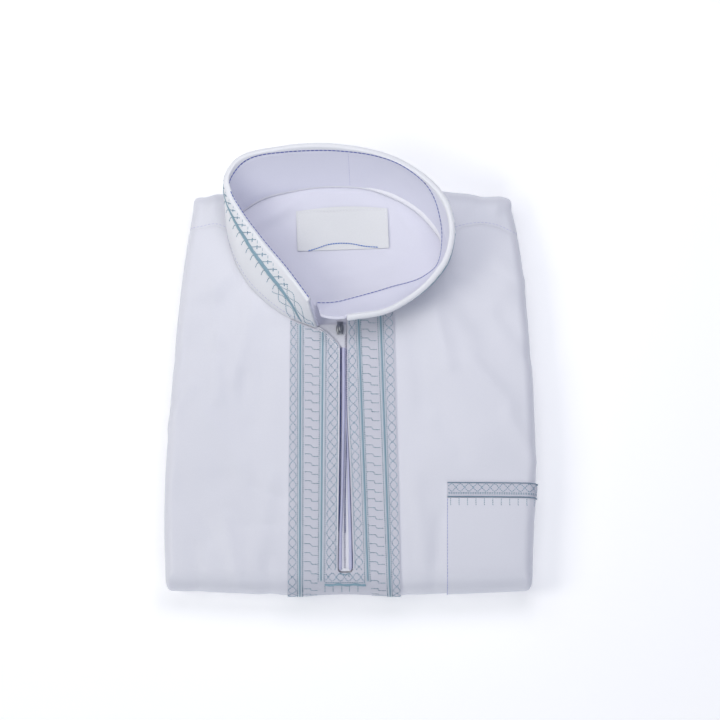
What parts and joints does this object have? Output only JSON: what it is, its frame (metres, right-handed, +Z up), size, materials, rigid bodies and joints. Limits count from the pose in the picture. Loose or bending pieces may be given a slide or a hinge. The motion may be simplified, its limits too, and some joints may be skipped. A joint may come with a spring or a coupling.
{
  "type": "folded thobe robe",
  "caption": "Folded man's robe lying flat, with a standing embroidered collar, a zipped placket and a banded chest pocket.",
  "frame": {"origin": "centre of the bounding box, on the underside that rests", "axes": "+X to the right of the bundle seen from above with the collar at the far end, +Y from the bottom fold to the collar, +Z up"},
  "size_m": [0.2354, 0.2846, 0.0568],
  "materials": {
    "body_cloth": "soft satin sheen",
    "inside_cloth": "matte",
    "collar_cloth": "soft satin sheen",
    "embroidered_cloth": "matte with thread",
    "teal_thread": "thread sheen",
    "welt_cloth": "satin",
    "zip_tape": "matte",
    "zip_metal": "dull",
    "label_satin": "satin"
  },
  "bodies": {
    "root": {"back": "inside_cloth", "back_yoke": "body_cloth", "collar_inner": "inside_cloth", "collar_outer": "collar_cloth", "folded_layers": "body_cloth", "front": "body_cloth", "neck_label": "label_satin", "placket_bar": "teal_thread", "placket_left": "embroidered_cloth", "placket_right": "embroidered_cloth", "pocket": "body_cloth", "pocket_band": "embroidered_cloth", "zip_slider": "zip_metal", "zip_tape": "zip_tape", "zip_welt_left": "welt_cloth", "zip_welt_right": "welt_cloth"}
  },
  "joints": []
}
